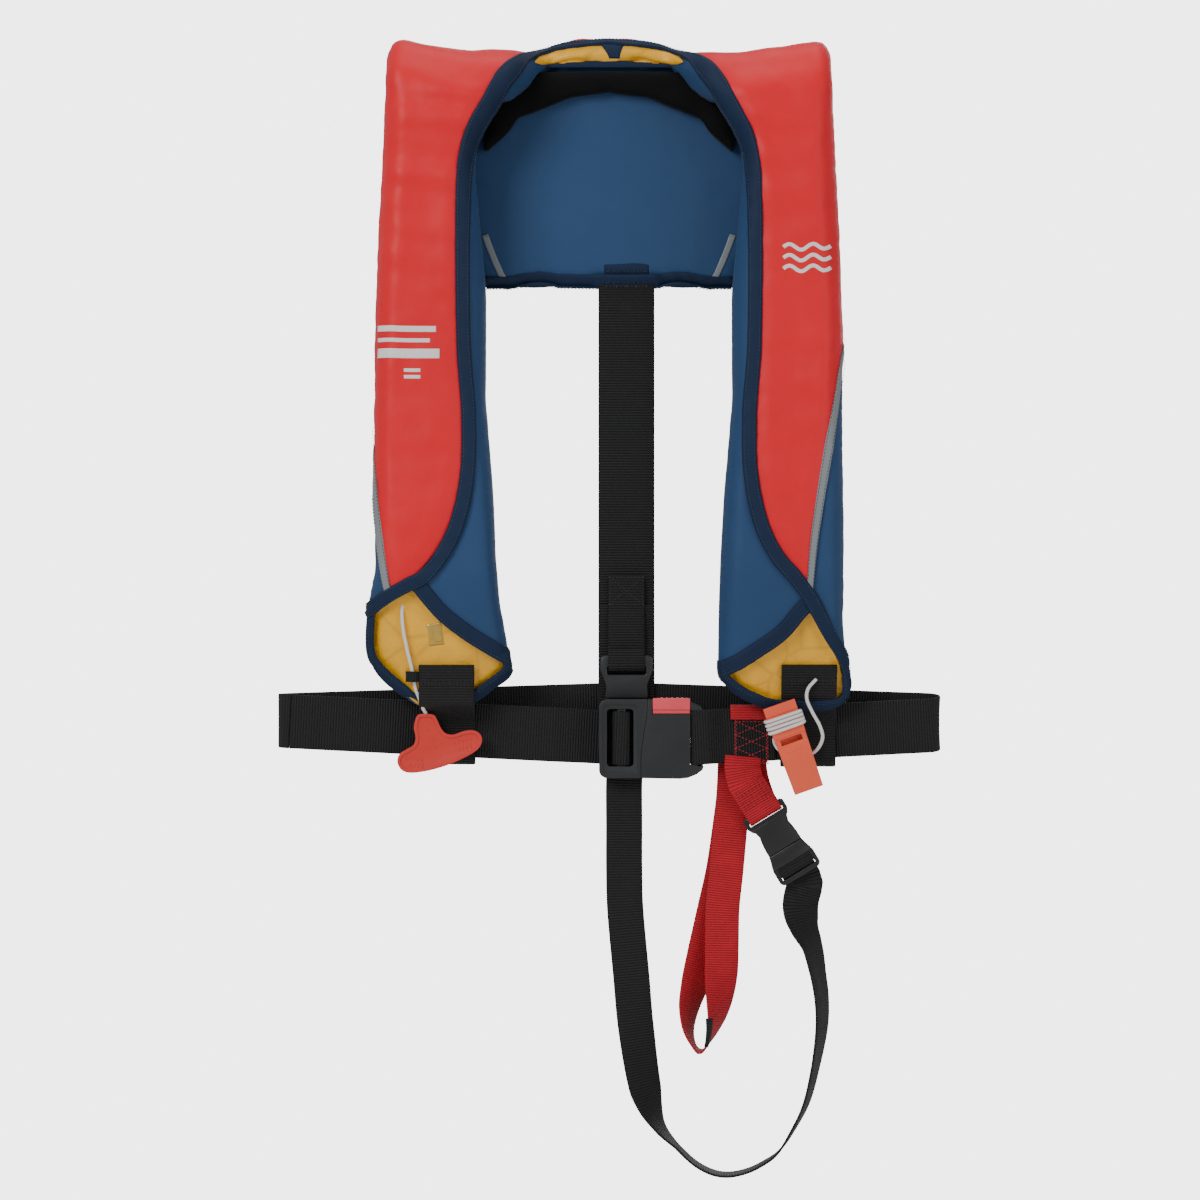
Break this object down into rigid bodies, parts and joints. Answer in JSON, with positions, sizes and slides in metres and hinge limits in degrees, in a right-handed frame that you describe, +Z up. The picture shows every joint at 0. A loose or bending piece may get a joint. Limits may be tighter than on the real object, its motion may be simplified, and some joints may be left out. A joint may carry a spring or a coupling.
{
  "type": "inflatable life jacket",
  "caption": "Horseshoe inflatable life jacket with waist belt, push-button buckle, crotch strap, pull handle, whistle and lifting loop.",
  "frame": {"origin": "middle of the neck opening at the back of the neck, where the jacket hangs on a wearer or a peg", "axes": "+Z up along the wearer, -Y to the wearer's front, +X to the right as seen from the front"},
  "size_m": [0.5641, 0.084, 0.972],
  "materials": {
    "red_fabric": "coated nylon cover, red",
    "blue_fabric": "coated nylon lining, blue",
    "navy_binding": "woven edge binding, navy",
    "bladder_film": "coated bladder fabric, yellow",
    "reflective": "retro-reflective tape, grey",
    "black_webbing": "woven webbing, black",
    "red_webbing": "woven webbing, red",
    "white_cord": "braided cord, white",
    "dark_plastic": "moulded acetal, dark grey",
    "red_plastic": "moulded, red",
    "whistle_plastic": "moulded, orange red",
    "steel": "plated steel",
    "clear_plastic": "clear window",
    "black_rubber": "moulded tube"
  },
  "bodies": {
    "jacket": {"front_cover_right": "red_fabric", "front_cover_left": "red_fabric", "back_cover": "red_fabric", "reflective_strip_right": "reflective", "reflective_strip_left": "reflective", "side_gusset_right": "blue_fabric", "side_gusset_left": "blue_fabric", "lining_right": "blue_fabric", "lining_left": "blue_fabric", "back_lining": "blue_fabric", "flap_binding_right": "navy_binding", "flap_binding_left": "navy_binding", "foot_binding_right": "navy_binding", "foot_binding_left": "navy_binding", "hem_binding": "navy_binding", "cover_binding_right": "navy_binding", "cover_binding_left": "navy_binding", "collar_binding": "navy_binding", "neck_binding": "navy_binding", "collar_tab": "navy_binding", "neck_pad": "black_webbing", "bladder": "bladder_film", "inflator_body": "dark_plastic", "inflator_window": "clear_plastic", "lever_pin": "steel", "oral_tube": "black_rubber", "back_strap": "black_webbing", "hem_patch": "black_webbing", "belt_front_left": "black_webbing", "belt_back": "black_webbing", "belt_loop_right": "black_webbing", "belt_loop_left": "black_webbing", "slider_strap": "black_webbing", "crotch_strap": "black_webbing", "loop_marker": "black_webbing", "cord_keeper": "black_webbing", "buckle_female": "dark_plastic", "button_spring": "steel", "strap_slider": "dark_plastic", "crotch_buckle_female": "dark_plastic", "red_tab": "red_webbing", "lifting_loop": "red_webbing"},
    "buckle_half": {"buckle_male": "dark_plastic"},
    "button": {"release_button": "red_plastic"},
    "crotch_half": {"crotch_buckle_male": "dark_plastic"},
    "handle": {"pull_handle": "red_plastic", "pull_cord": "white_cord"},
    "lever": {"inflator_lever": "red_plastic"},
    "whistle": {"whistle": "whistle_plastic", "lanyard_wraps": "white_cord", "whistle_lanyard": "white_cord"},
    "cap": {"firing_cap": "whistle_plastic"},
    "cylinder": {"gas_cylinder": "steel"},
    "oral_cap": {"oral_cap": "red_plastic"}
  },
  "joints": [
    {"name": "waist_buckle_release", "type": "slide", "parent": "jacket", "child": "buckle_half", "axis": [-1, 0, 0], "range_m": [0, 0.045], "deforming": ["belt_front_left"]},
    {"name": "button_press", "type": "slide", "parent": "jacket", "child": "button", "axis": [0, 0, -1], "range_m": [0, 0.003], "stiffness_N_per_m": 800, "springref_m": -0.001, "deforming": ["button_spring"]},
    {"name": "crotch_buckle_release", "type": "slide", "parent": "jacket", "child": "crotch_half", "axis": [0.5184, 0, -0.8551], "range_m": [0, 0.03], "deforming": ["crotch_strap"]},
    {"name": "handle_pull", "type": "slide", "parent": "jacket", "child": "handle", "axis": [0, 0, -1], "range_m": [0, 0.015], "deforming": ["pull_cord"]},
    {"name": "lever_turn", "type": "hinge", "parent": "jacket", "child": "lever", "pos_m": [-0.1653, -0.019, -0.463], "axis": [1, 0, 0], "range_deg": [0, 70]},
    {"name": "whistle_swing", "type": "hinge", "parent": "jacket", "child": "whistle", "pos_m": [0.175, -0.028, -0.524], "axis": [0, 1, 0], "range_deg": [-35, 20]},
    {"name": "firing_cap_turn", "type": "hinge", "parent": "jacket", "child": "cap", "pos_m": [-0.146, -0.019, -0.498], "axis": [0, 0, 1], "continuous": true},
    {"name": "gas_cylinder_turn", "type": "hinge", "parent": "jacket", "child": "cylinder", "pos_m": [-0.146, -0.019, -0.39], "axis": [0, 0, 1], "continuous": true},
    {"name": "oral_cap_pull", "type": "slide", "parent": "jacket", "child": "oral_cap", "axis": [0, 0, 1], "range_m": [0, 0.013]}
  ],
  "couplings": [
    {"joint": "lever_turn", "follows": "handle_pull", "rad_per_m": 80}
  ]
}
